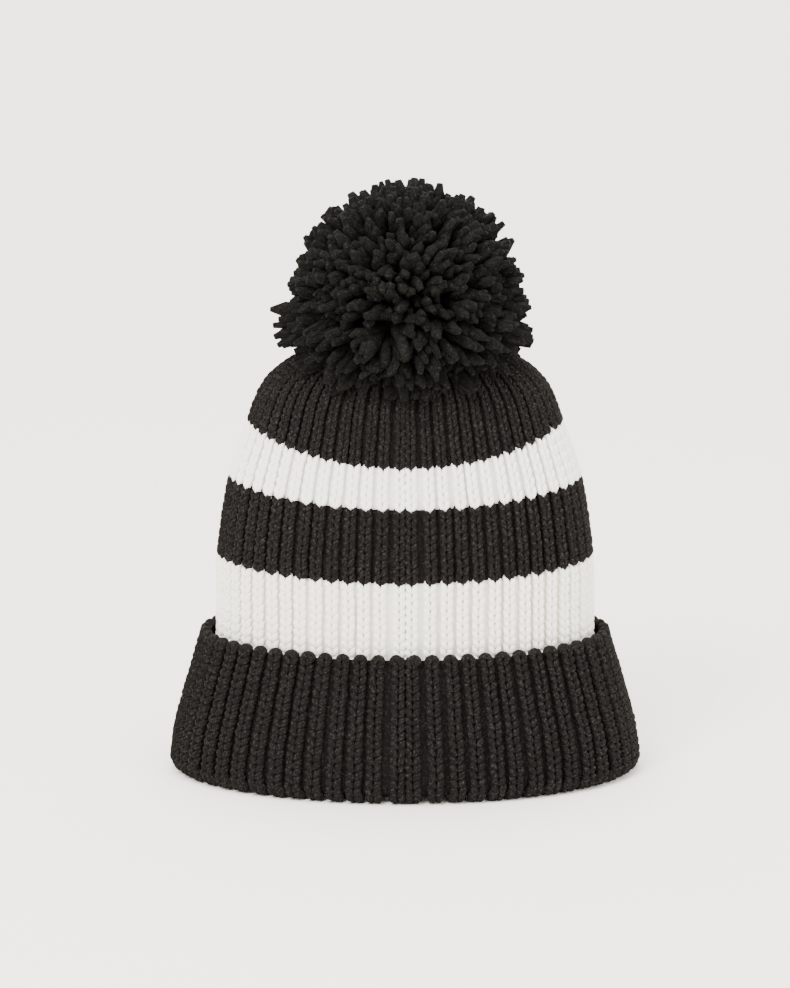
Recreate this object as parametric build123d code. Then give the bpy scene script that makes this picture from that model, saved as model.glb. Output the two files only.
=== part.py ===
from build123d import *
import math
import os

# Pom pom beanie, in millimetres. It stands on the fold of its turned-up cuff, opened out as on a
# stand. +Z is up, the back seam faces -Y, and the origin is on the floor under the middle of the hat.

# ---- driving dimensions ----
cuff_width = 230.0            # across the fold of the cuff, the widest place
cuff_depth = 150.0            # front to back across the same fold
cuff_height = 71.0            # from the floor to the free edge of the turned-up layer
cuff_top_width = 199.0        # across the free edge
cuff_wall = 4.5               # turned-up rib layer
cuff_belly = 1.0              # the turned-up layer bows out by this much half-way up
fold_thickness = 5.0          # height of the fabric in the fold
fold_step = 0.3               # the inner layer stands this far above the fold
cuff_gap = 0.5                # between the turned-up layer and the layer inside it

body_width = 184.0            # above the cuff
body_depth = 117.0
knit_wall = 4.5               # thickness of the knit
crown_height = 209.0          # highest ring of the crown
dimple_depth = 4.0            # the gather sits this far below that ring

lower_stripe_base = 64.0      # heights of the colour changes on the middle of the back
lower_stripe_top = 104.0
upper_stripe_base = 139.5
upper_stripe_top = 159.0
lower_stripe_rise = 3.0       # how far each line climbs towards the sides
upper_base_rise = 6.0
upper_top_rise = 14.0

gather_hole_radius = 6.0      # opening that the drawn-up stitches leave
gather_yarn_radius = 1.4
gather_yarn_clearance = 0.3

attaching_yarn_radius = 2.0   # twisted strands that pass through the gather
attaching_yarn_rise = 12.0    # above the pivot, up to the foot of the pompom
attaching_knot_radius = 4.5
attaching_knot_gap = 2.0      # between the knot and the inside of the crown

pompom_diameter = 115.0
pompom_centre_above_pivot = 29.0
pompom_tilt_deg = 10.0        # lean each way, about either axis
underside_spare_deg = 1.5     # beyond the whole lean
binding_ring_radius = 9.0     # cord drawn tight round the middle of the strands
binding_cord_radius = 1.5

seam_yarn_width = 2.6
seam_yarn_depth = 1.6
seam_offset = 0.0             # the joining columns lie in the middle of the back

label_width = 30.0
label_height = 40.0
label_thickness = 0.8
label_top = 52.0
label_offset = -24.0
label_wall_gap = 0.25
stitch_radius = 0.35
stitch_count = 7

# ---- derived sizes ----
depth_ratio = cuff_depth / cuff_width
reach = cuff_width + cuff_depth
pivot_height = crown_height - dimple_depth - 0.5 * knit_wall
inner_layer_base = fold_thickness + fold_step


def squeeze(shape, ratio):
    """Turn a round solid into an oval one by scaling its depth."""
    return scale(shape, by=(1, ratio, 1))


def spin(points, base, top):
    """Solid of revolution under a smooth profile, closed down to the axis."""
    foot = (0, base)
    head = (0, top)
    curve = Spline(*points)
    outline = curve + Line(points[-1], head) + Line(head, foot) + Line(foot, points[0])
    face = make_face(Plane.XZ * outline)
    return revolve(face, axis=Axis.Z)


def inset(points, wall):
    """Profile points moved inwards by the wall, square to the line through their neighbours."""
    moved = []
    last = len(points) - 1
    for index, (radius, height) in enumerate(points):
        before = points[max(index - 1, 0)]
        after = points[min(index + 1, last)]
        run = after[0] - before[0]
        rise = after[1] - before[1]
        length = math.hypot(run, rise)
        moved.append((radius - wall * rise / length, height + wall * run / length))
    return moved


def body_profile():
    """Half-width and height of the outside of the knit, from the cuff fold to the gather."""
    half = 0.5 * body_width
    sleeve = 0.5 * cuff_top_width - cuff_wall - cuff_gap
    shoulder = crown_height - upper_stripe_top
    return [
        (sleeve, inner_layer_base),
        (half + 0.3 * (sleeve - half), 0.5 * lower_stripe_base),
        (half, lower_stripe_top - 0.5 * (lower_stripe_top - lower_stripe_base)),
        (half * 0.996, lower_stripe_top + 3),
        (half * 0.940, upper_stripe_base + 3),
        (half * 0.850, upper_stripe_top + 0.20 * shoulder),
        (half * 0.768, upper_stripe_top + 0.61 * shoulder),
        (half * 0.650, upper_stripe_top + 0.845 * shoulder),
        (half * 0.500, crown_height - 1.4),
        (half * 0.310, crown_height),
        (gather_hole_radius + 3.0, crown_height - dimple_depth),
    ]


def body_solid(depth):
    """Everything inside the surface that lies this deep in the knit."""
    points = inset(body_profile(), depth)
    foot = points[0][1]
    ratio = (0.5 * body_depth - depth) / (0.5 * body_width - depth)
    lowered = [(points[0][0], inner_layer_base)] + points[1:]
    base = min(foot, inner_layer_base)
    return squeeze(spin(lowered, base, points[-1][1]), ratio)


def strip(height, rise, base):
    """Flat slab, cut along the depth, whose top edge is an arc that climbs to the sides."""
    half = 0.5 * body_width
    end = height + rise
    corner = height + 2 * rise
    edge = ThreePointArc((-half, end), (0, height), (half, end))
    rest = Polyline((half, end), (reach, corner), (reach, base), (-reach, base), (-reach, corner),
                    (-half, end))
    face = make_face(Plane.XZ * (edge + rest))
    return extrude(face, amount=reach, both=True)


def seam_box(low, high):
    """Narrow block round the joining columns of the back."""
    block = Box(seam_yarn_width, reach, high - low, align=(Align.CENTER, Align.MAX, Align.MIN))
    return Pos(seam_offset, 0, low) * block


def knit_shell():
    """The whole hat above the fold, open at the gather."""
    hole = Cylinder(gather_hole_radius, reach, align=(Align.CENTER, Align.CENTER, Align.MIN))
    return body_solid(0) - body_solid(knit_wall) - hole


def back_seam():
    """Sewing yarn that joins the two edges of the knitted panel, lying in the inside of the wall."""
    skin = body_solid(knit_wall - seam_yarn_depth) - body_solid(knit_wall)
    top = crown_height - 0.35 * (crown_height - upper_stripe_top)
    return skin & seam_box(inner_layer_base, top)


def turned(outline, ratio):
    """Oval solid from a closed outline of half-widths and heights."""
    round_solid = revolve(make_face(Plane.XZ * outline), axis=Axis.Z)
    return squeeze(round_solid, ratio)


def cuff_outside():
    """Everything inside the outer surface of the turned-up layer, rounded at the fold."""
    wide = 0.5 * cuff_width
    narrow = 0.5 * cuff_top_width
    turn = fold_thickness + 2
    middle = (0.5 * (wide + narrow) + cuff_belly, 0.5 * (cuff_height + turn))
    heel = ThreePointArc((wide - 5, 0), (wide - 1.2, 0.37 * turn), (wide, turn))
    side = ThreePointArc((wide, turn), middle, (narrow, cuff_height))
    lid = Polyline((narrow, cuff_height), (0, cuff_height), (0, -1), (wide - 5, -1), (wide - 5, 0))
    floor = Box(2 * reach, 2 * reach, reach, align=(Align.CENTER, Align.CENTER, Align.MAX))
    return turned(heel + side + lid, depth_ratio) - floor


def inner_face_half():
    """Half-width of the inside of the inner layer, where the fold ends."""
    return 0.5 * cuff_top_width - cuff_wall - cuff_gap - knit_wall


def cuff_hollow(depth):
    """Everything inside the surface that lies this far into the wall from its inside face."""
    wide = 0.5 * cuff_width - cuff_wall - 0.5 + depth
    narrow = 0.5 * cuff_top_width - cuff_wall + depth
    half_depth = 0.5 * cuff_top_width * depth_ratio - cuff_wall + depth
    middle = (0.5 * (wide + narrow) + 0.8 * cuff_belly, 0.5 * (cuff_height + fold_thickness))
    above = cuff_height + 5
    side = ThreePointArc((wide, fold_thickness), middle, (narrow, cuff_height))
    rest = Polyline((narrow, cuff_height), (narrow, above), (0, above), (0, fold_thickness),
                    (wide, fold_thickness))
    return turned(side + rest, half_depth / narrow)


def cuff_seam_strip():
    """Sewing yarn in the inside face of the turned-up layer."""
    skin = cuff_hollow(seam_yarn_depth) - cuff_hollow(0)
    return skin & seam_box(fold_thickness, cuff_height - seam_yarn_depth)


def cuff_layer():
    """The turned-up layer with the fold along its foot."""
    outside = cuff_outside()
    mouth_half = inner_face_half()
    mouth_ratio = (0.5 * body_depth - knit_wall) / (0.5 * body_width - knit_wall)
    mouth = squeeze(Cylinder(mouth_half, reach), mouth_ratio)
    return outside - cuff_hollow(0) - mouth


def gathering_ring():
    """Drawn-up yarn inside the gather, with its ends led under the crown to a knot."""
    major = gather_hole_radius - gather_yarn_clearance - gather_yarn_radius
    tail_radius = 0.5 * gather_yarn_radius
    drop = 0.5 * knit_wall + 2 * tail_radius + 0.6
    run = gather_hole_radius + 2
    down = Cylinder(tail_radius, drop, align=(Align.CENTER, Align.CENTER, Align.MAX))
    along = Rot(-90, 0, 0) * Cylinder(tail_radius, run, align=(Align.CENTER, Align.CENTER, Align.MIN))
    knot = Pos(0, run, -drop - 0.6) * Sphere(gather_yarn_radius)
    tail = down + Pos(0, 0, -drop) * along + Pos(0, 0, -drop) * Sphere(tail_radius)
    ring = Torus(major, gather_yarn_radius)
    return Pos(0, 0, pivot_height) * (ring + Pos(0, major, 0) * (tail + knot))


def attaching_yarn():
    """Twisted strands through the gather, knotted inside, on which the pompom hangs."""
    knot_height = pivot_height - knit_wall - attaching_knot_gap - attaching_knot_radius
    length = pivot_height + attaching_yarn_rise - knot_height
    shank = Cylinder(attaching_yarn_radius, length, align=(Align.CENTER, Align.CENTER, Align.MIN))
    knot = Sphere(attaching_knot_radius)
    return Pos(0, 0, knot_height) * (shank + knot)


def pompom_centre():
    return pivot_height + pompom_centre_above_pivot


def underside():
    """Foot of the pompom: the top of the crown, turned about the pivot by the whole lean."""
    lean = math.radians(math.sqrt(2) * pompom_tilt_deg + underside_spare_deg)
    points = []
    for radius, height in body_profile()[-2:-5:-1]:
        level = height - pivot_height
        turned_radius = radius * math.cos(lean) - level * math.sin(lean)
        points.append((turned_radius, pivot_height + radius * math.sin(lean) + level * math.cos(lean)))
    return points


def pompom_ball():
    """Cut strands of the pompom as one ball with a hollow foot."""
    ball = Pos(0, 0, pompom_centre()) * Sphere(0.5 * pompom_diameter)
    foot = underside()
    start = (0, foot[0][1])
    out = (reach, foot[-1][1])
    outline = Polyline(start, *foot, out, (reach, -reach), (0, -reach), start)
    hollow = revolve(make_face(Plane.XZ * outline), axis=Axis.Z)
    return ball - hollow


def binding_cord():
    """Cord drawn tight round the strands at the middle of the pompom."""
    return Pos(0, 0, pompom_centre()) * Torus(binding_ring_radius, binding_cord_radius)


def label_plate():
    """Blank care label sewn flat to the inside of the back."""
    half_width = 0.5 * body_width - knit_wall
    half_depth = 0.5 * body_depth - knit_wall
    edge = abs(label_offset) + 0.5 * label_width
    wall = half_depth * math.sqrt(1 - (edge / half_width) ** 2)
    low = label_top - label_height
    plate = Box(label_width, label_thickness, label_height,
                align=(Align.CENTER, Align.MIN, Align.MIN))
    return Pos(label_offset, -wall + label_wall_gap, low) * plate


def label_thread(plate):
    """Row of small stitches along the label's top and foot."""
    box = plate.bounding_box()
    step = label_width / stitch_count
    margin = 2.0
    parts = []
    for height in (box.max.Z - margin, box.min.Z + margin):
        for index in range(stitch_count):
            x = box.min.X + (index + 0.5) * step
            bead = Rot(0, 90, 0) * Cylinder(stitch_radius, 0.6 * step)
            parts.append(Pos(x, box.max.Y + stitch_radius, height) * bead)
    return Compound(parts)


def write(name, shape):
    export_step(shape, "parts/" + name + ".step")


def main():
    os.makedirs("parts", exist_ok=True)
    shell = knit_shell()
    seam = back_seam()
    shell = shell - seam
    below_lower = strip(lower_stripe_base, 0.01, -reach)
    below_middle = strip(lower_stripe_top, lower_stripe_rise, -reach)
    below_upper = strip(upper_stripe_base, upper_base_rise, -reach)
    below_crown = strip(upper_stripe_top, upper_top_rise, -reach)
    write("cuff_inner_layer", shell & below_lower)
    write("lower_stripe", (shell & below_middle) - below_lower)
    write("middle_band", (shell & below_upper) - below_middle)
    write("upper_stripe", (shell & below_crown) - below_upper)
    write("crown_band", shell - below_crown)
    write("back_seam_yarn", seam)
    cuff_seam = cuff_seam_strip()
    write("cuff_turned_up_layer", cuff_layer() - cuff_seam)
    write("cuff_seam_yarn", cuff_seam)
    write("crown_gathering_yarn", gathering_ring())
    write("pompom_attaching_yarn", attaching_yarn())
    binding = binding_cord()
    write("pompom_strands", pompom_ball() - binding)
    write("pompom_binding_cord", binding)
    plate = label_plate()
    write("care_label", plate)
    write("care_label_thread", label_thread(plate))


main()
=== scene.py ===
import bmesh
import bpy
import math
import random
from mathutils import Matrix, Vector


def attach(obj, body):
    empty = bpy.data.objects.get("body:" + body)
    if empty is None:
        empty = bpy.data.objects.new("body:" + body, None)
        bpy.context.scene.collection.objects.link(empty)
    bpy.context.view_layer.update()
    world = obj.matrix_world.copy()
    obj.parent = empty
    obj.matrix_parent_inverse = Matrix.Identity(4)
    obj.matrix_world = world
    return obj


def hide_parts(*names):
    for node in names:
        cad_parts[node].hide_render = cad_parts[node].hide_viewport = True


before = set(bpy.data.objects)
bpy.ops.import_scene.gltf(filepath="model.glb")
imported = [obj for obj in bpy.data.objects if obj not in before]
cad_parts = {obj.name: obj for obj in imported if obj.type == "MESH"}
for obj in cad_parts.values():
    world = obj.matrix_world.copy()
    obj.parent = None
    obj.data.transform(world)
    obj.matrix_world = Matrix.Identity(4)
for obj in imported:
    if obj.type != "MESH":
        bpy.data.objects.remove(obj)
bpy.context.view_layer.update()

# Pom pom beanie in metres. The back seam faces -Y and +Z is up.

# ---- sizes ----
MM = 0.001
WALES = 60                    # knit columns round the hat
ROW = 3.9 * MM                # height of one stitch
BODY_RATIO = 117.0 / 184.0    # depth over width of the knit above the cuff
CUFF_RATIO = 150.0 / 230.0    # the same for the turned-up layer
WALL = 4.5 * MM               # overall thickness of the knit
YARN_DEPTH = 2.2 * MM         # yarn centres lie this far under the outside of the wall
GROUND_TOP = 3.1 * MM         # the fabric behind the stitches starts here
EDGE_MARGIN = 1.5 * MM        # a band at the end of a tube stops this far from it
SEAM_SHIFT = 0.13             # the two joining columns crowd together by this share of a column
COLUMN_DRIFT = 0.05           # a column strays sideways by up to this share of its width
STITCH_DRIFT = 0.03           # and each stitch of it by this share
DEPTH_SPREAD = 0.12           # unevenness of the stitches in depth, in mm
SIZE_SPREAD = 0.04            # and in size, as a share
THICKEST = 9.0 * MM           # a stitch is no thicker than one on a column of this width
GROUND_BOTTOM = WALL - 0.2 * MM
GROUND_RIB = 0.35 * MM        # the fabric behind the stitches waves in and out with the columns
CROWN_FOLD = 3.0 * MM         # depth of the crease that the gather leaves over the seam
CROWN_FOLD_RUN = 25 * MM      # it deepens over this distance
CROWN_FOLD_HALF = 2.2         # half its width, in columns
CROWN_FOLD_HEIGHT = 0.168     # and it starts at this height
PIVOT = Vector((0, 0, 0.20275))
STRIPE_BASE = (64.0, 0.0)     # height on the middle of the back, climb at the sides, in mm
LOWER_TOP = (104.0, 3.0)
UPPER_BASE = (139.5, 6.0)
UPPER_TOP = (159.0, 14.0)

# half-width and height of the outside, in mm: the body from the foot up to the gather, and the
# turned-up layer from the fold up to its edge
BODY_LINE = [(94.5, 5.3), (92.8, 32), (92, 84), (91.6, 107), (86.5, 142.5), (78.2, 169), (70.6, 189.5),
             (59.8, 201.2), (46, 207.6), (28.5, 209), (16, 207.2), (7.5, 204)]
CUFF_LINE = [(92, 0.2), (100, 0), (108, 0), (112.2, 1.2), (114.4, 3.6), (115, 8), (112.6, 24),
             (108.3, 40), (103.6, 56), (99.5, 70)]


# ---- the knitted surface ----
def smooth_line(points, steps=14):
    """Catmull-Rom curve through the given points, with the distance run at each of its own."""
    padded = [points[0]] + points + [points[-1]]
    line = []
    for i in range(1, len(padded) - 2):
        p0, p1, p2, p3 = (Vector(padded[i + k]) for k in (-1, 0, 1, 2))
        for k in range(steps):
            t = k / steps
            a = 2 * p1 + (p2 - p0) * t
            b = (2 * p0 - 5 * p1 + 4 * p2 - p3) * t * t
            c = (3 * p1 - p0 - 3 * p2 + p3) * t ** 3
            line.append(0.5 * MM * (a + b + c))
    line.append(Vector(points[-1]) * MM)
    run = [0.0]
    for a, b in zip(line, line[1:]):
        run.append(run[-1] + (b - a).length)
    return line, run


def oval_table(ratio, count=720):
    """Ellipse angles at equal distances round the oval."""
    angles = [2 * math.pi * k / count for k in range(count + 1)]
    run = [0.0]
    for a, b in zip(angles, angles[1:]):
        dx = math.cos(b) - math.cos(a)
        dy = ratio * (math.sin(b) - math.sin(a))
        run.append(run[-1] + math.hypot(dx, dy))
    return angles, [r / run[-1] for r in run], run[-1]


def look_up(xs, ys, x):
    """Straight-line reading of a rising table."""
    low, high = 0, len(xs) - 1
    x = min(max(x, xs[0]), xs[-1])
    while high - low > 1:
        mid = (low + high) // 2
        if xs[mid] <= x:
            low = mid
        else:
            high = mid
    span = xs[high] - xs[low]
    t = (x - xs[low]) / span if span else 0.0
    return ys[low] + (ys[high] - ys[low]) * t


SEAM_TURN = 0.75              # share of a turn from +X round to the seam at -Y
STEP_UP = 0.0008              # steps that find the directions on the surface
STEP_ROUND = 0.002


class Skin:
    """Outside of a knitted tube: u runs once round from the seam, s runs up from the foot."""

    def __init__(self, points, ratio):
        self.line, self.run = smooth_line(points)
        self.ratio = ratio
        self.angles, self.share, self.girth = oval_table(ratio)
        self.length = self.run[-1]
        self.radii = [p.x for p in self.line]
        self.heights = [p.y for p in self.line]

    def angle(self, u):
        return look_up(self.share, self.angles, (u + SEAM_TURN) % 1.0)

    def radius(self, s):
        return look_up(self.run, self.radii, s)

    def at(self, s, u):
        a = self.angle(u)
        r = self.radius(s)
        return Vector((r * math.cos(a), r * self.ratio * math.sin(a), look_up(self.run, self.heights, s)))

    def frame(self, s, u):
        """Place, direction round the tube and outward normal."""
        across = (self.at(s, u + STEP_ROUND) - self.at(s, u - STEP_ROUND)).normalized()
        up = (self.at(s + STEP_UP, u) - self.at(s - STEP_UP, u)).normalized()
        out = across.cross(up).normalized()
        return self.at(s, u), across, out

    def reach(self, height):
        """Distance up the column at a height."""
        for i in range(1, len(self.heights)):
            below, above = self.heights[i - 1], self.heights[i]
            if above >= height:
                part = (height - below) / (above - below) if above > below else 0.0
                return self.run[i - 1] + (self.run[i] - self.run[i - 1]) * max(part, 0.0)
        return self.length

    def edge(self, u, rule):
        """Distance up the column of a colour change that climbs towards the sides."""
        level, climb = rule
        return self.reach((level + climb * math.cos(self.angle(u)) ** 2) * MM)


body = Skin(BODY_LINE, BODY_RATIO)
cuff = Skin(CUFF_LINE, CUFF_RATIO)
CROWN_FOLD_START = body.reach(CROWN_FOLD_HEIGHT)


# ---- shared shader effects ----
FIBRE_SCALE = 1100            # noise fine enough for the flecks of single fibres
FLECK_FROM = 0.52             # noise below this is plain yarn
FLECK_FULL = 0.70             # and above this a full fleck
DYE_SCALE = 120               # slow noise for uneven dyeing
HAIR_SCALE = 2600             # the finest noise, for the fuzz
YARN_ROUGHNESS = 0.92
YARN_SPECULAR = 0.12
SHEEN_ROUGHNESS = 0.6
PLY_RELIEF = 0.5 * MM


def new_group(name, inputs, outputs):
    group = bpy.data.node_groups.new(name, "ShaderNodeTree")
    for label, kind, value in inputs:
        socket = group.interface.new_socket(label, in_out="INPUT", socket_type=kind)
        socket.default_value = value
    for label, kind in outputs:
        group.interface.new_socket(label, in_out="OUTPUT", socket_type=kind)
    return group, group.nodes.new("NodeGroupInput"), group.nodes.new("NodeGroupOutput")


def add(tree, kind, **settings):
    node = tree.nodes.new(kind)
    for key, value in settings.items():
        setattr(node, key, value)
    return node


def maths(tree, operation, a, b=0.0):
    """Math node on two sockets or numbers. One that takes a single value ignores the second."""
    node = add(tree, "ShaderNodeMath", operation=operation)
    for socket, value in zip(node.inputs, (a, b)):
        if hasattr(value, "default_value"):
            tree.links.new(value, socket)
        else:
            socket.default_value = value
    return node.outputs[0]


def heather_group():
    """Colour of spun yarn: light flecks drawn along the fibres over slow uneven dyeing."""
    group, given, result = new_group("heathered_yarn", [
        ("Base", "NodeSocketColor", (0.05, 0.05, 0.05, 1)),
        ("Fleck", "NodeSocketColor", (0.2, 0.2, 0.2, 1)),
        ("Fleck Amount", "NodeSocketFloat", 0.4),
        ("Unevenness", "NodeSocketFloat", 0.2)], [("Color", "NodeSocketColor")])
    link = group.links.new
    place = add(group, "ShaderNodeTexCoord").outputs["Object"]
    fibre = add(group, "ShaderNodeTexNoise")
    fibre.inputs["Scale"].default_value = FIBRE_SCALE
    fibre.inputs["Detail"].default_value = 3
    slow = add(group, "ShaderNodeTexNoise")
    slow.inputs["Scale"].default_value = DYE_SCALE
    link(place, fibre.inputs["Vector"])
    link(place, slow.inputs["Vector"])
    sharp = add(group, "ShaderNodeMapRange")
    sharp.inputs["From Min"].default_value = FLECK_FROM
    sharp.inputs["From Max"].default_value = FLECK_FULL
    link(fibre.outputs["Fac"], sharp.inputs["Value"])
    amount = maths(group, "MULTIPLY", sharp.outputs[0], given.outputs["Fleck Amount"])
    flecked = add(group, "ShaderNodeMix", data_type="RGBA")
    link(amount, flecked.inputs["Factor"])
    link(given.outputs["Base"], flecked.inputs["A"])
    link(given.outputs["Fleck"], flecked.inputs["B"])
    swing = maths(group, "SUBTRACT", slow.outputs["Fac"], 0.5)
    swing = maths(group, "MULTIPLY", swing, given.outputs["Unevenness"])
    level = maths(group, "ADD", swing, 1.0)
    tone = add(group, "ShaderNodeVectorMath", operation="SCALE")
    link(flecked.outputs["Result"], tone.inputs[0])
    link(level, tone.inputs["Scale"])
    link(tone.outputs[0], result.inputs["Color"])
    return group


def ply_group():
    """Height of plies twisted round a strand, and painted shade that darkens the valleys between them, read
    from the piece's own yarn attribute.
    """
    # the Depth input sets how strongly painted shade darkens the valleys between plies
    group, given, result = new_group("ply_twist", [
        ("Twist", "NodeSocketFloat", 3.0),
        ("Fuzz", "NodeSocketFloat", 0.4),
        ("Depth", "NodeSocketFloat", 0.4)],
        [("Height", "NodeSocketFloat"), ("Shade", "NodeSocketFloat")])
    link = group.links.new
    strand = add(group, "ShaderNodeAttribute", attribute_name="yarn")
    split = add(group, "ShaderNodeSeparateXYZ")
    link(strand.outputs["Vector"], split.inputs[0])
    along = maths(group, "MULTIPLY", split.outputs["X"], given.outputs["Twist"])
    turn = maths(group, "ADD", along, maths(group, "MULTIPLY", split.outputs["Y"], 2.0))
    wave = maths(group, "ABSOLUTE", maths(group, "SINE", maths(group, "MULTIPLY", turn, math.pi)))
    hair = add(group, "ShaderNodeTexNoise")
    hair.inputs["Scale"].default_value = HAIR_SCALE
    link(add(group, "ShaderNodeTexCoord").outputs["Object"], hair.inputs["Vector"])
    fuzz = maths(group, "MULTIPLY", hair.outputs["Fac"], given.outputs["Fuzz"])
    link(maths(group, "ADD", wave, fuzz), result.inputs["Height"])
    # painted shade: the colour is darkened in the valleys between the plies
    painted_valley_shade = maths(group, "MULTIPLY", maths(group, "SUBTRACT", 1.0, wave), given.outputs["Depth"])
    link(maths(group, "SUBTRACT", 1.0, painted_valley_shade), result.inputs["Shade"])
    return group


HEATHER = heather_group()
PLY = ply_group()


def yarn_material(name, base, fleck, amount, uneven=0.5, twist=3.0, fuzz=0.5, bump=0.5, sheen=0.25,
                  depth=0.4):
    """Matte spun yarn: uneven is the dyeing, twist the turns of ply, depth how dark the painted shade in
    the valleys between plies is.
    """
    material = bpy.data.materials.new(name)
    material.use_nodes = True
    tree = material.node_tree
    shader = tree.nodes["Principled BSDF"]
    shader.inputs["Roughness"].default_value = YARN_ROUGHNESS
    shader.inputs["Specular IOR Level"].default_value = YARN_SPECULAR
    shader.inputs["Sheen Weight"].default_value = sheen
    shader.inputs["Sheen Roughness"].default_value = SHEEN_ROUGHNESS
    shader.inputs["Sheen Tint"].default_value = (*base, 1)
    heather = add(tree, "ShaderNodeGroup", node_tree=HEATHER)
    heather.inputs["Base"].default_value = (*base, 1)
    heather.inputs["Fleck"].default_value = (*fleck, 1)
    heather.inputs["Fleck Amount"].default_value = amount
    heather.inputs["Unevenness"].default_value = uneven
    ply = add(tree, "ShaderNodeGroup", node_tree=PLY)
    ply.inputs["Twist"].default_value = twist
    ply.inputs["Fuzz"].default_value = fuzz
    ply.inputs["Depth"].default_value = depth
    # painted shade: the yarn colour is multiplied by the darkened ply valleys
    shaded = add(tree, "ShaderNodeVectorMath", operation="SCALE")
    tree.links.new(heather.outputs["Color"], shaded.inputs[0])
    tree.links.new(ply.outputs["Shade"], shaded.inputs["Scale"])
    tree.links.new(shaded.outputs[0], shader.inputs["Base Color"])
    raised = add(tree, "ShaderNodeBump")
    raised.inputs["Strength"].default_value = bump
    raised.inputs["Distance"].default_value = PLY_RELIEF
    tree.links.new(ply.outputs["Height"], raised.inputs["Height"])
    tree.links.new(raised.outputs["Normal"], shader.inputs["Normal"])
    return material


# depth is the strength of the painted shade in the ply valleys; it is set lighter on the pale yarns
charcoal = yarn_material("charcoal_yarn", (0.0060, 0.0049, 0.0043), (0.085, 0.075, 0.067), 0.36, sheen=0.08)
charcoal_rib = yarn_material("charcoal_rib_yarn", (0.0052, 0.0045, 0.0039), (0.08, 0.071, 0.064), 0.36,
                             sheen=0.08)
white = yarn_material("white_yarn", (0.97, 0.945, 0.885), (0.98, 0.965, 0.92), 0.3,
                      uneven=0.08, bump=0.35, depth=0.1)
cream = yarn_material("cream_yarn", (0.97, 0.94, 0.865), (0.98, 0.96, 0.90), 0.3,
                      uneven=0.08, bump=0.35, depth=0.1)
pompom_yarn = yarn_material("pompom_yarn", (0.0028, 0.0026, 0.0020), (0.05, 0.046, 0.039), 0.32,
                            uneven=1.2, twist=6.0, bump=0.8, sheen=0.06)
sewing = yarn_material("sewing_yarn", (0.02, 0.018, 0.016), (0.07, 0.065, 0.06), 0.3)
satin = yarn_material("label_satin", (0.80, 0.80, 0.77), (0.9, 0.9, 0.88), 0.2, uneven=0.1,
                      fuzz=0.15, sheen=0.1)


# ---- mesh making ----
def add_mesh(name, verts, faces, material=None, strand=None):
    mesh = bpy.data.meshes.new(name)
    mesh.from_pydata([tuple(v) for v in verts], [], faces)
    if strand:
        data = mesh.attributes.new("yarn", "FLOAT_VECTOR", "POINT").data
        for item, value in zip(data, strand):
            item.vector = value
    for face in mesh.polygons:
        face.use_smooth = True
    piece = bpy.data.objects.new(name, mesh)
    bpy.context.scene.collection.objects.link(piece)
    if material:
        mesh.materials.append(material)
    return piece


LOBE_TURN = 2.2               # the plies of a lobed strand turn by this angle at each point of its path


def strand_mesh(paths, sides=5, lobes=0.0):
    """Closed tubes along lists of (point, half-width, half-depth), with the yarn attribute."""
    verts, faces, strand = [], [], []
    for path in paths:
        first = len(verts)
        for i, (p, wide, deep) in enumerate(path):
            before = path[max(i - 1, 0)][0]
            after = path[min(i + 1, len(path) - 1)][0]
            way = (Vector(after) - Vector(before)).normalized()
            side = way.cross(Vector((0, 0, 1)))
            side = side.normalized() if side.length > 0.2 else Vector((1, 0, 0))
            top = side.cross(way)
            for k in range(sides):
                a = 2 * math.pi * k / sides
                swell = 1 + lobes * math.cos(2 * a + LOBE_TURN * i)
                verts.append(Vector(p) + (side * wide * math.cos(a) + top * deep * math.sin(a)) * swell)
                strand.append((i / (len(path) - 1), k / sides, 0))
        for i in range(len(path) - 1):
            for k in range(sides):
                a = first + i * sides + k
                b = first + i * sides + (k + 1) % sides
                faces.append((a, a + sides, b + sides, b))
        last = first + (len(path) - 1) * sides
        faces.append(tuple(first + k for k in range(sides)))
        faces.append(tuple(last + k for k in reversed(range(sides))))
    return verts, faces, strand


def out_facing(piece):
    """Turn every closed shell of a piece outwards."""
    work = bmesh.new()
    work.from_mesh(piece.data)
    bmesh.ops.recalc_face_normals(work, faces=work.faces)
    work.to_mesh(piece.data)
    work.free()


# one leg of a stitch from its low end up: sideways, up, out, half-width, half-depth
LEG = [(0.05, -0.86, -0.17, 0.10, 0.10), (0.10, -0.62, -0.03, 0.18, 0.17), (0.18, -0.22, 0.08, 0.225, 0.22),
       (0.25, 0.20, 0.08, 0.225, 0.22), (0.27, 0.58, -0.04, 0.18, 0.17), (0.22, 0.88, -0.20, 0.10, 0.10)]


def knit_stitch():
    """One stitch, one unit wide and one row high: two plump legs that meet low in a V."""
    return [[((x * side, y, z), wide, deep) for x, y, z, wide, deep in LEG] for side in (-1, 1)]


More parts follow.
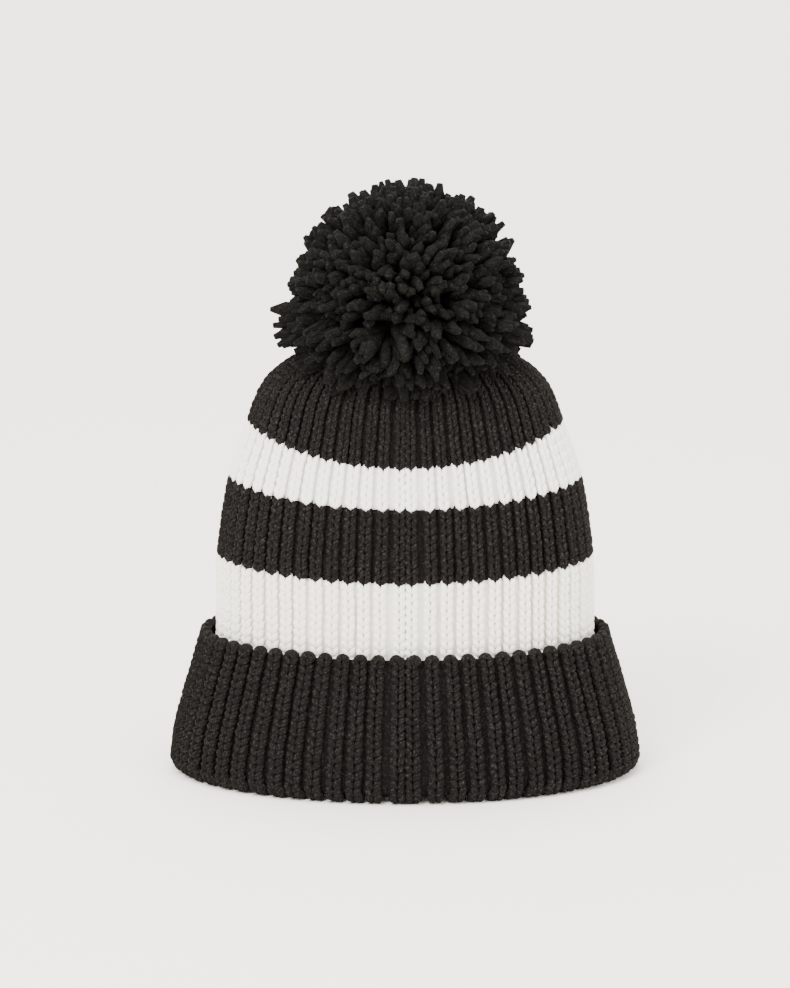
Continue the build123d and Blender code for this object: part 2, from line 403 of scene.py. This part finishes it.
def instancer():
    """Geometry tree that sets one item on every point, turned and sized by the points' attributes."""
    tree = bpy.data.node_groups.new("repeat_on_points", "GeometryNodeTree")
    for label, kind in (("Geometry", "NodeSocketGeometry"), ("Item", "NodeSocketObject"),
                        ("Size Spread", "NodeSocketFloat"), ("Seed", "NodeSocketInt"),
                        ("Material", "NodeSocketMaterial")):
        tree.interface.new_socket(label, in_out="INPUT", socket_type=kind)
    tree.interface.new_socket("Geometry", in_out="OUTPUT", socket_type="NodeSocketGeometry")
    given = tree.nodes.new("NodeGroupInput")
    result = tree.nodes.new("NodeGroupOutput")
    item = tree.nodes.new("GeometryNodeObjectInfo")
    turn = add(tree, "GeometryNodeInputNamedAttribute", data_type="QUATERNION")
    turn.inputs["Name"].default_value = "turn"
    size = add(tree, "GeometryNodeInputNamedAttribute", data_type="FLOAT_VECTOR")
    size.inputs["Name"].default_value = "size"
    low = maths(tree, "SUBTRACT", 1.0, given.outputs["Size Spread"])
    high = maths(tree, "ADD", 1.0, given.outputs["Size Spread"])
    spread = add(tree, "FunctionNodeRandomValue", data_type="FLOAT")
    scaled = add(tree, "ShaderNodeVectorMath", operation="SCALE")
    place = tree.nodes.new("GeometryNodeInstanceOnPoints")
    real = tree.nodes.new("GeometryNodeRealizeInstances")
    finish = tree.nodes.new("GeometryNodeSetMaterial")
    link = tree.links.new
    link(low, spread.inputs[2])
    link(high, spread.inputs[3])
    link(given.outputs["Seed"], spread.inputs["Seed"])
    link(size.outputs[0], scaled.inputs[0])
    link(spread.outputs[1], scaled.inputs["Scale"])
    link(given.outputs["Geometry"], place.inputs["Points"])
    link(given.outputs["Item"], item.inputs["Object"])
    link(item.outputs["Geometry"], place.inputs["Instance"])
    link(turn.outputs[0], place.inputs["Rotation"])
    link(scaled.outputs[0], place.inputs["Scale"])
    link(place.outputs[0], real.inputs["Geometry"])
    link(real.outputs[0], finish.inputs["Geometry"])
    link(given.outputs["Material"], finish.inputs["Material"])
    link(finish.outputs[0], result.inputs["Geometry"])
    return tree


REPEAT = instancer()


def repeat(name, item, places, material, spread, seed):
    """Mesh of one item repeated at (point, across, up, out, size) places."""
    mesh = bpy.data.meshes.new(name + "_points")
    mesh.from_pydata([tuple(p[0]) for p in places], [], [])
    mesh.attributes.new("turn", "QUATERNION", "POINT")
    mesh.attributes.new("size", "FLOAT_VECTOR", "POINT")
    turn = mesh.attributes["turn"]
    size = mesh.attributes["size"]
    for i, (_, across, up, out, scale) in enumerate(places):
        turn.data[i].value = Matrix((across, up, out)).transposed().to_quaternion()
        size.data[i].vector = scale
    carrier = bpy.data.objects.new(name + "_points", mesh)
    bpy.context.scene.collection.objects.link(carrier)
    modifier = carrier.modifiers.new("repeat", "NODES")
    modifier.node_group = REPEAT
    socket = {s.name: s.identifier for s in REPEAT.interface.items_tree if s.in_out == "INPUT"}
    modifier[socket["Item"]] = item
    modifier[socket["Size Spread"]] = spread
    modifier[socket["Seed"]] = seed
    modifier[socket["Material"]] = material
    bpy.context.view_layer.update()
    evaluated = carrier.evaluated_get(bpy.context.evaluated_depsgraph_get())
    made = bpy.data.meshes.new_from_object(evaluated)
    made.name = name
    bpy.data.objects.remove(carrier)
    piece = bpy.data.objects.new(name, made)
    bpy.context.scene.collection.objects.link(piece)
    for face in made.polygons:
        face.use_smooth = True
    if not made.materials:
        made.materials.append(material)
    return piece


verts, faces, strand = strand_mesh(knit_stitch())
STITCH = add_mesh("stitch_item", verts, faces, None, strand)
out_facing(STITCH)


# ---- knit bands ----
def square(skin, s, u, depth):
    """Place under the surface with a square frame: across, up, out."""
    place, across, out = skin.frame(s, u)
    up = out.cross(across).normalized()
    return place - out * depth, across, up, out


def from_seam(u):
    """Signed distance from the seam, in columns."""
    return ((u + 0.5) % 1.0 - 0.5) * WALES


def crease(u, s, skin):
    """How far the crown folds in over the seam as it nears the gather."""
    if skin is not body or s < CROWN_FOLD_START:
        return 0.0
    ramp = min(1.0, (s - CROWN_FOLD_START) / CROWN_FOLD_RUN)
    return CROWN_FOLD * ramp * max(0.0, 1 - abs(from_seam(u)) / CROWN_FOLD_HALF)


def stitches(name, skin, low, high, material, plump, relief, sunk, seed):
    """Columns of stitches between two edges of a band."""
    rng = random.Random(seed)
    places = []
    rows = max(1, round((high(0.0) - low(0.0)) / ROW))
    for wale in range(WALES):
        u = (wale + 0.5) / WALES
        drift = rng.uniform(-COLUMN_DRIFT, COLUMN_DRIFT) / WALES
        if abs(from_seam(u)) < 1:
            drift = -math.copysign(SEAM_SHIFT, from_seam(u)) / WALES
        start, end = low(u), high(u)
        tall = (end - start) / rows
        for row in range(rows):
            s = start + (end - start) * (row + 0.5) / rows
            lean = drift + rng.uniform(-STITCH_DRIFT, STITCH_DRIFT) / WALES
            depth = sunk + crease(u, s, skin) + rng.uniform(-DEPTH_SPREAD, DEPTH_SPREAD) * MM
            place, across, up, out = square(skin, s, u + lean, depth)
            pitch = skin.radius(s) * skin.girth / WALES
            thick = min(pitch, THICKEST) * relief
            places.append((place, across, up, out, (pitch * plump, tall, thick)))
    return repeat(name, STITCH, places, material, SIZE_SPREAD, seed)


def ground(name, skin, low, high, material, top, rings=18, around=240):
    """Closed thin fabric behind the stitches of a band, ribbed to the columns."""
    verts, faces = [], []
    for layer in range(2):
        for i in range(rings + 1):
            for k in range(around):
                u = k / around
                s = low(u) + (high(u) - low(u)) * i / rings
                wave = GROUND_RIB * math.cos(2 * math.pi * u * WALES)
                depth = (top if layer == 0 else GROUND_BOTTOM) + wave + crease(u, s, skin)
                place, across, up, out = square(skin, s, u, depth)
                verts.append(place)
    block = (rings + 1) * around
    for i in range(rings):
        for k in range(around):
            a = i * around + k
            b = i * around + (k + 1) % around
            faces.append((a, b, b + around, a + around))
            faces.append((a + block, a + block + around, b + block + around, b + block))
    for k in range(around):
        a, b = k, (k + 1) % around
        faces.append((a, a + block, b + block, b))
        c, d = a + rings * around, b + rings * around
        faces.append((c, d, d + block, c + block))
    piece = add_mesh(name, verts, faces, material)
    out_facing(piece)
    return piece


def fixed(s):
    """Level edge of a band."""
    return lambda u: s


def line_of(rule):
    """Edge of a band along a colour change."""
    return lambda u: body.edge(u, rule)


def mean_girth(skin, low, high, samples=8):
    """Way round a band, averaged over its height at the seam."""
    radii = [skin.radius(low(0) + (high(0) - low(0)) * k / samples) for k in range(samples + 1)]
    return sum(radii) / (samples + 1) * skin.girth


def knit_band(node, skin, low, high, material, host, seed, plump=0.88, relief=1.0,
              sunk=YARN_DEPTH, start=None):
    """Ground fabric and stitches of one colour band, in place of its plain solid."""
    back = ground(node + "_ground", skin, low, high, material, sunk + GROUND_TOP - YARN_DEPTH)
    face = stitches(node + "_stitches", skin, start or low, high, material, plump, relief, sunk, seed)
    for piece in (back, face):
        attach(piece, host)
    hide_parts(node)
    flat = (mean_girth(skin, low, high), high(0.0) - low(0.0))


top_edge = fixed(body.length - EDGE_MARGIN)
knit_band("cuff_inner_layer", body, fixed(EDGE_MARGIN), line_of(STRIPE_BASE), charcoal_rib, "hat", 11)
knit_band("lower_stripe", body, line_of(STRIPE_BASE), line_of(LOWER_TOP), cream, "hat", 12)
knit_band("middle_band", body, line_of(LOWER_TOP), line_of(UPPER_BASE), charcoal, "hat", 13)
knit_band("upper_stripe", body, line_of(UPPER_BASE), line_of(UPPER_TOP), white, "hat", 14)
knit_band("crown_band", body, line_of(UPPER_TOP), top_edge, charcoal, "hat", 15)


# ---- turned-up cuff ----
CUFF_FOOT = 2.0 * MM          # the ground starts here, under the fold
CUFF_FIRST_ROW = 13 * MM      # and the stitches where the outside begins to climb
CUFF_YARN_DEPTH = 2.8 * MM
EDGE_DROP = 1.0 * MM          # the loops of the edge sit this far below its end
EDGE_DEPTH = 2.6 * MM
LOOP_STEPS = 8
LOOP_HALF_WIDTH = 0.24        # sizes of a loop, as shares of a column
LOOP_FOOT = -0.30
LOOP_RISE = 0.42
LOOP_THICK = 0.25
LOOP_END_THICK = 0.16
LOOP_SIZE = 0.9


def bound_edge():
    """Rolled cast-off edge: one fat loop over the top of every rib."""
    arc = []
    for k in range(LOOP_STEPS + 1):
        a = math.pi * (k / LOOP_STEPS)
        thick = LOOP_END_THICK if k in (0, LOOP_STEPS) else LOOP_THICK
        place = (-LOOP_HALF_WIDTH * math.cos(a), LOOP_FOOT + LOOP_RISE * math.sin(a), 0.0)
        arc.append((place, thick * 0.9, thick * 1.3))
    verts, faces, strand = strand_mesh([arc], sides=7)
    item = add_mesh("loop_item", verts, faces, None, strand)
    out_facing(item)
    pitch = cuff.radius(cuff.length) * cuff.girth / WALES
    size = (pitch, pitch * LOOP_SIZE, pitch * LOOP_SIZE)
    places = []
    for wale in range(WALES):
        u = (wale + 0.5) / WALES
        places.append((*square(cuff, cuff.length - EDGE_DROP, u, EDGE_DEPTH), size))
    edge = repeat("cuff_bound_edge", item, places, charcoal_rib, 0.06, 31)
    bpy.data.objects.remove(item)
    return edge


knit_band("cuff_turned_up_layer", cuff, fixed(CUFF_FOOT), fixed(cuff.length - EDGE_MARGIN), charcoal_rib,
          "cuff", 21, plump=0.85, relief=1.1, sunk=CUFF_YARN_DEPTH,
          start=fixed(CUFF_FIRST_ROW))
edge = bound_edge()
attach(edge, "cuff")


# ---- seams ----
OVERCAST = 4.5 * MM           # size of one sewing stitch, on the inside of the fabric
OVERCAST_PATH = [((-0.5, -0.35, 0), 0.12, 0.12), ((-0.2, -0.12, 0.2), 0.2, 0.18),
                 ((0.2, 0.12, 0.2), 0.2, 0.18), ((0.5, 0.35, 0), 0.12, 0.12)]
BACK_SEAM_FOOT = 2 * MM
BACK_SEAM_TOP = 0.191         # height where the sewing stops, short of the gather
BACK_SEAM_DEPTH = WALL + 0.2 * MM
CUFF_SEAM_FOOT = 26 * MM
CUFF_SEAM_END = 6 * MM        # the sewing stops this far below the cuff's edge
CUFF_SEAM_DEPTH = 3.9 * MM


def seam_line(name, skin, low, high, host, node, depth):
    """Overcast sewing yarn along the joining columns, in place of its plain solid."""
    verts, faces, strand = strand_mesh([OVERCAST_PATH], sides=6)
    item = add_mesh(name + "_item", verts, faces, None, strand)
    out_facing(item)
    places = []
    count = round((high - low) / ROW)
    for row in range(count):
        s = low + (high - low) * (row + 0.5) / count
        place, across, up, out = square(skin, s, 0.0, depth)
        places.append((place, across * -1, up, out * -1, (OVERCAST, OVERCAST, OVERCAST)))
    piece = repeat(name, item, places, sewing, 2 * SIZE_SPREAD, 41)
    bpy.data.objects.remove(item)
    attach(piece, host)
    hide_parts(node)


seam_line("back_seam_overcast", body, BACK_SEAM_FOOT, body.reach(BACK_SEAM_TOP), "hat", "back_seam_yarn",
          BACK_SEAM_DEPTH)
seam_line("cuff_seam_overcast", cuff, CUFF_SEAM_FOOT, cuff.length - CUFF_SEAM_END, "cuff", "cuff_seam_yarn",
          CUFF_SEAM_DEPTH)


# ---- pom pom ----
CENTRE = PIVOT + Vector((0.001, 0, 0.029))
BALL = 56.0 * MM              # length of the strands from the tie
CORE_FOOT = 217.0 * MM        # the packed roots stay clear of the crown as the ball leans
CORE_SHARE = 0.66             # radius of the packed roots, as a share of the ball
CORE_LUMPS = 0.03
STRANDS = 1900                # directions tried, evenly spread before each is nudged
NUDGE = 0.15                  # spread of the directions
LOWEST = -0.74                # no strand points lower than this into the crown
DROOP_BELOW = -0.12           # strands lower than this on the seam's side are longer, and hang
DROOP = 1.15
STRAY_CHANCE = 0.02
STRAY = 1.04
LIE_OVER = 1.5 * MM           # room between the crown and the strands that lie on it
LIE_SPREAD = 4                # they pile up by this much, in mm
LIE_REACH = 1.02              # and reach no further than this share of the ball
ROOT_SHARE = 0.36             # the visible strands start at this share of the ball
ROOT_SPREAD = 0.0025
ROOT_OVER = 3 * MM
STRAND_THICK = 39 * MM        # scale of the item across a strand


def crown_floor(x, y):
    """Height of the crown under a point, for strands that lie on it."""
    r = math.hypot(x, y / BODY_RATIO)
    for p in reversed(body.line):
        if p.x >= r:
            return p.y
    return 0.0


TUFT_BEND = 0.16              # sideways, as a share of a strand's length
TUFT_HALF = 0.0675            # half the thickness of a strand, in the item's units


def tuft_item():
    """Cut strand of two plies, one unit long from its root, bent a little, with a cut end that narrows."""
    path = []
    last = 7
    for i in range(last + 1):
        t = i / last
        bend = TUFT_BEND * t * t
        swell = 0.80 + 0.30 * t if i < last else 0.50
        path.append(((bend, t, 0.04 * math.sin(5 * t)), TUFT_HALF * swell, TUFT_HALF * swell))
    return path


def pompom():
    """Ball of plied strands that fan out from a tie in its middle."""
    verts, faces, strand = strand_mesh([tuft_item()], sides=6, lobes=0.26)
    item = add_mesh("tuft_item", verts, faces, None, strand)
    out_facing(item)
    rng = random.Random(7)
    places = []
    golden = math.pi * (3 - math.sqrt(5))
    for k in range(STRANDS):
        z = 1 - 2 * (k + 0.5) / STRANDS
        ring = math.sqrt(1 - z * z)
        way = Vector((ring * math.cos(golden * k), ring * math.sin(golden * k), z))
        way += Vector([rng.gauss(0, NUDGE) for _ in range(3)])
        way.normalize()
        if way.z < LOWEST:
            continue
        length = BALL * rng.uniform(0.86, 1.04)
        if way.z < DROOP_BELOW and way.y < 0:
            length *= DROOP
        if rng.random() < STRAY_CHANCE:
            length *= STRAY
        tip = CENTRE + way * length
        floor = crown_floor(tip.x, tip.y) + LIE_OVER
        if tip.z < floor:
            tip.z = floor + rng.uniform(0, LIE_SPREAD) * MM
            flat = Vector((tip.x - CENTRE.x, tip.y - CENTRE.y, 0))
            if flat.length > LIE_REACH * BALL:
                continue
        root = CENTRE + way * ROOT_SHARE * BALL + Vector([rng.gauss(0, ROOT_SPREAD) for _ in range(3)])
        root.z = max(root.z, crown_floor(root.x, root.y) + ROOT_OVER)
        along = tip - root
        size = along.length
        along.normalize()
        side = along.cross(Vector([rng.gauss(0, 1) for _ in range(3)])).normalized()
        out = side.cross(along).normalized()
        thick = STRAND_THICK * rng.uniform(0.85, 1.15)
        places.append((root, side, along, out, (thick, size, thick)))
    tufts = repeat("pompom_tufts", item, places, pompom_yarn, 0.0, 51)
    bpy.data.objects.remove(item)
    return tufts


def pompom_core():
    """Packed roots of the strands: a lumpy ball inside the tufts."""
    work = bmesh.new()
    bmesh.ops.create_icosphere(work, subdivisions=5, radius=CORE_SHARE * BALL)
    rng = random.Random(9)
    for v in work.verts:
        v.co *= 1 + rng.uniform(-CORE_LUMPS, CORE_LUMPS)
        v.co += CENTRE
        v.co.z = max(v.co.z, CORE_FOOT)
    mesh = bpy.data.meshes.new("pompom_core")
    work.to_mesh(mesh)
    work.free()
    core = bpy.data.objects.new("pompom_core", mesh)
    bpy.context.scene.collection.objects.link(core)
    mesh.materials.append(pompom_yarn)
    return core


tufts = pompom()
core = pompom_core()
for piece in (tufts, core):
    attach(piece, "pompom")
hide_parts("pompom_strands")
bpy.data.objects.remove(STITCH)

# ---- small CAD pieces that stay ----
LEFT_AS_MADE = {"crown_gathering_yarn": sewing, "pompom_attaching_yarn": sewing,
                "pompom_binding_cord": sewing, "care_label": satin, "care_label_thread": satin}
for node, material in LEFT_AS_MADE.items():
    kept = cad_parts[node].data
    kept.materials.clear()
    kept.materials.append(material)


# ---- floor, light and camera ----
PAPER_FRONT = -3.0
PAPER_BEND = 1.0              # the floor starts to curve up here
PAPER_RADIUS = 0.8
PAPER_TOP = 3.5
PAPER_SIDE = 4
PAPER_DROP = 0.0002           # it lies just under the fold
PAPER_COLOUR = (0.965, 0.93, 0.87, 1)


def sweep(steps=12):
    """Pale floor that curves up into a backdrop."""
    profile = [(PAPER_FRONT, 0.0), (PAPER_BEND, 0.0)]
    for k in range(1, steps + 1):
        a = math.pi / 2 * k / steps
        profile.append((PAPER_BEND + PAPER_RADIUS * math.sin(a), PAPER_RADIUS - PAPER_RADIUS * math.cos(a)))
    profile.append((PAPER_BEND + PAPER_RADIUS, PAPER_TOP))
    verts, faces = [], []
    for y, z in profile:
        verts += [(-PAPER_SIDE, y, z - PAPER_DROP), (PAPER_SIDE, y, z - PAPER_DROP)]
    for i in range(len(profile) - 1):
        faces.append((2 * i, 2 * i + 1, 2 * i + 3, 2 * i + 2))
    paper = bpy.data.materials.new("pale_paper")
    paper.use_nodes = True
    shader = paper.node_tree.nodes["Principled BSDF"]
    shader.inputs["Base Color"].default_value = PAPER_COLOUR
    shader.inputs["Roughness"].default_value = 0.9
    return add_mesh("paper_sweep", verts, faces, paper)


sweep()


def area_light(name, place, target, size, power):
    """Round soft lamp, in metres and watts, that faces its target."""
    data = bpy.data.lights.new(name, "AREA")
    data.shape = "DISK"
    data.size = size
    data.energy = power
    lamp = bpy.data.objects.new(name, data)
    lamp.location = place
    lamp.rotation_euler = (Vector(target) - Vector(place)).to_track_quat("-Z", "Y").to_euler()
    bpy.context.scene.collection.objects.link(lamp)


area_light("key", place=(-0.9, -1.5, 1.9), target=(0, 0, 0.12), size=1.2, power=90)
area_light("fill", place=(1.5, -1.6, 0.9), target=(0, 0, 0.12), size=1.6, power=32)
area_light("top", place=(0, 0.3, 2.2), target=(0, 0.2, 0.1), size=1.8, power=56)
WORLD_COLOUR = (1.0, 0.975, 0.935, 1)
WORLD_STRENGTH = 2.05
world = bpy.data.worlds.new("studio")
world.use_nodes = True
background = world.node_tree.nodes["Background"]
background.inputs["Color"].default_value = WORLD_COLOUR
background.inputs["Strength"].default_value = WORLD_STRENGTH
bpy.context.scene.world = world

ELEVATION = math.radians(12)
DISTANCE = 2.4
SENSOR = 36
VIEW_HEIGHT = 0.479           # height of the picture at the hat
TARGET = Vector((-0.0049, 0, 0.1359))
lens = bpy.data.cameras.new("camera")
lens.sensor_width = SENSOR
lens.lens = SENSOR * DISTANCE / VIEW_HEIGHT
camera = bpy.data.objects.new("camera", lens)
camera.location = TARGET + DISTANCE * Vector((0, -math.cos(ELEVATION), math.sin(ELEVATION)))
camera.rotation_euler = (math.pi / 2 - ELEVATION, 0, 0)
bpy.context.scene.collection.objects.link(camera)
bpy.context.scene.camera = camera
